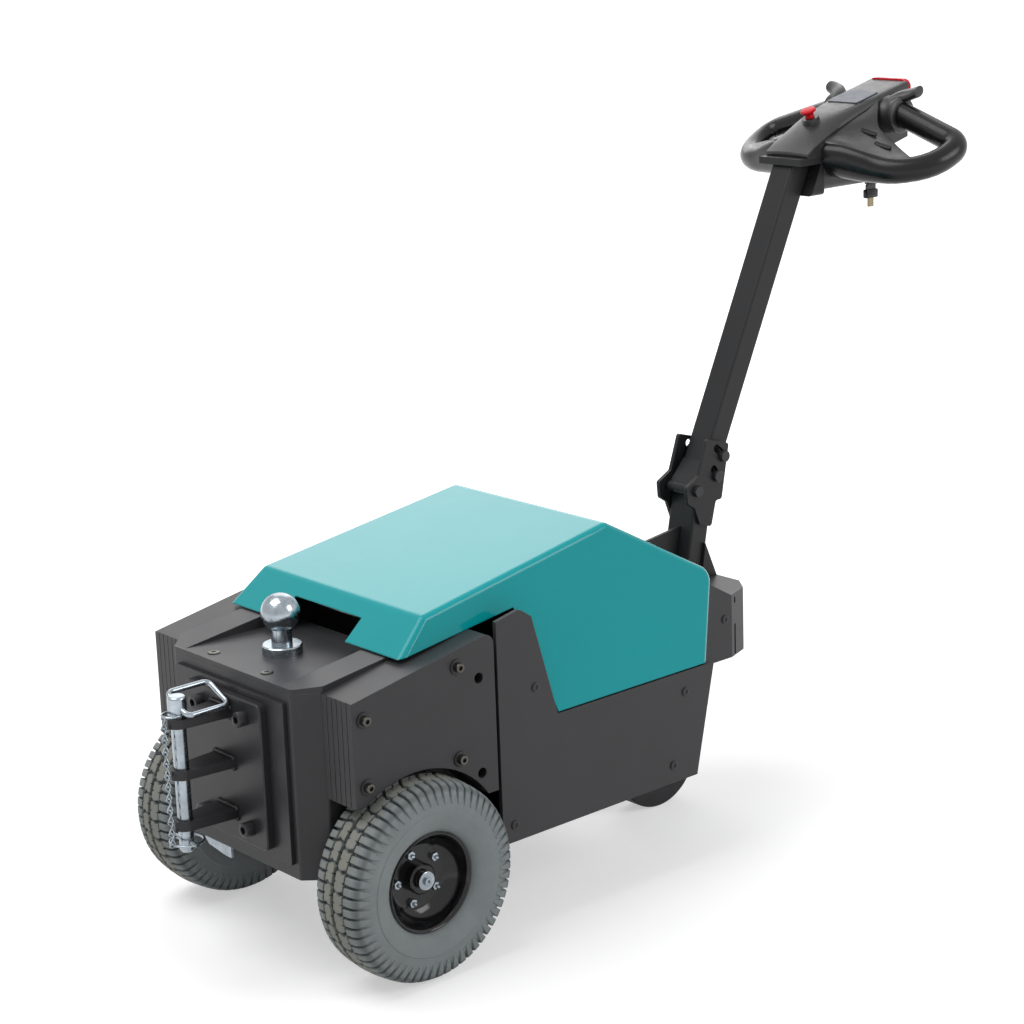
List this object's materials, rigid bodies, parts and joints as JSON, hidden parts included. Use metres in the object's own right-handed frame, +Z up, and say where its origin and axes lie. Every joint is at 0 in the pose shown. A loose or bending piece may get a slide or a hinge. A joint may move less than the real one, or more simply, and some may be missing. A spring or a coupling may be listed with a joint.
{
  "type": "electric tow tractor",
  "caption": "Pedestrian electric tow tractor with a hood, ballasted hitch box, tow ball and drawbar pin, driven tyres, a swivel castor and a hinged tiller with loop grips.",
  "frame": {"origin": "on the floor, midway between the chain before the hitch pin and the rear of the control head, on the plane of symmetry", "axes": "+X from the hitch to the tiller's control head, +Z up, +Y to the operator's right when facing the hitch"},
  "size_m": [1.3654, 0.4862, 1.01],
  "materials": {
    "anthracite": "fine texture powder coat",
    "black_steel": "satin black paint",
    "zinc": "bright zinc plate",
    "teal": "gloss paint",
    "cast": "as cast",
    "grey_rubber": "matte non-marking rubber",
    "black_rubber": "matte rubber",
    "light_rim": "moulded rim",
    "battery_case": "moulded case",
    "head_plastic": "fine grain moulding",
    "grip_plastic": "smooth moulding",
    "red_plastic": "gloss moulding",
    "screen": "clear window"
  },
  "bodies": {
    "chassis": {"hitch_box": "anthracite", "coupling_deck": "anthracite", "front_plate": "black_steel", "hitch_plate": "black_steel", "hitch_lugs": "black_steel", "tow_pin": "zinc", "pin_ring": "zinc", "linch_pin": "zinc", "safety_chain": "zinc", "tow_ball": "zinc", "ballast_left": "anthracite", "ballast_right": "anthracite", "side_panel_left": "anthracite", "side_panel_right": "anthracite", "hood": "teal", "chassis_tray": "anthracite", "battery_pack": "battery_case", "drive_unit": "cast", "tail_box": "anthracite", "castor_mount": "zinc", "tiller_foot": "anthracite", "tiller_gussets": "anthracite", "hinge_plate_left": "anthracite", "hinge_plate_right": "anthracite", "hinge_pin": "black_steel"},
    "drive_wheel_left": {"tyre_left": "grey_rubber", "rim_left": "black_steel", "hub_left": "black_steel"},
    "drive_wheel_right": {"tyre_right": "grey_rubber", "rim_right": "black_steel", "hub_right": "black_steel"},
    "castor_swivel": {"castor_fork": "zinc"},
    "castor_wheel": {"castor_tyre": "black_rubber", "castor_rim": "light_rim"},
    "tiller": {"tiller_tube": "anthracite", "clamp_bolts": "black_steel", "head_bracket": "anthracite", "head_housing": "head_plastic", "belly_button": "red_plastic", "grip_loop_left": "grip_plastic", "grip_loop_right": "grip_plastic", "throttle_left": "head_plastic", "throttle_right": "head_plastic", "emergency_stop": "red_plastic", "display_panel": "screen", "key_switch": "head_plastic"}
  },
  "joints": [
    {"name": "drive_left_spin", "type": "hinge", "parent": "chassis", "child": "drive_wheel_left", "pos_m": [-0.45525, -0.2005, 0.1305], "axis": [0, 1, 0], "continuous": true},
    {"name": "drive_right_spin", "type": "hinge", "parent": "chassis", "child": "drive_wheel_right", "pos_m": [-0.45525, 0.2005, 0.1305], "axis": [0, 1, 0], "continuous": true},
    {"name": "castor_turn", "type": "hinge", "parent": "chassis", "child": "castor_swivel", "pos_m": [0.18975, 0, 0.18], "axis": [0, 0, 1], "continuous": true},
    {"name": "castor_spin", "type": "hinge", "parent": "castor_swivel", "child": "castor_wheel", "pos_m": [0.14475, 0, 0.075], "axis": [0, 1, 0], "continuous": true},
    {"name": "tiller_tilt", "type": "hinge", "parent": "chassis", "child": "tiller", "pos_m": [0.21975, 0, 0.463], "axis": [0, -1, 0], "range_deg": [0, 16]}
  ]
}
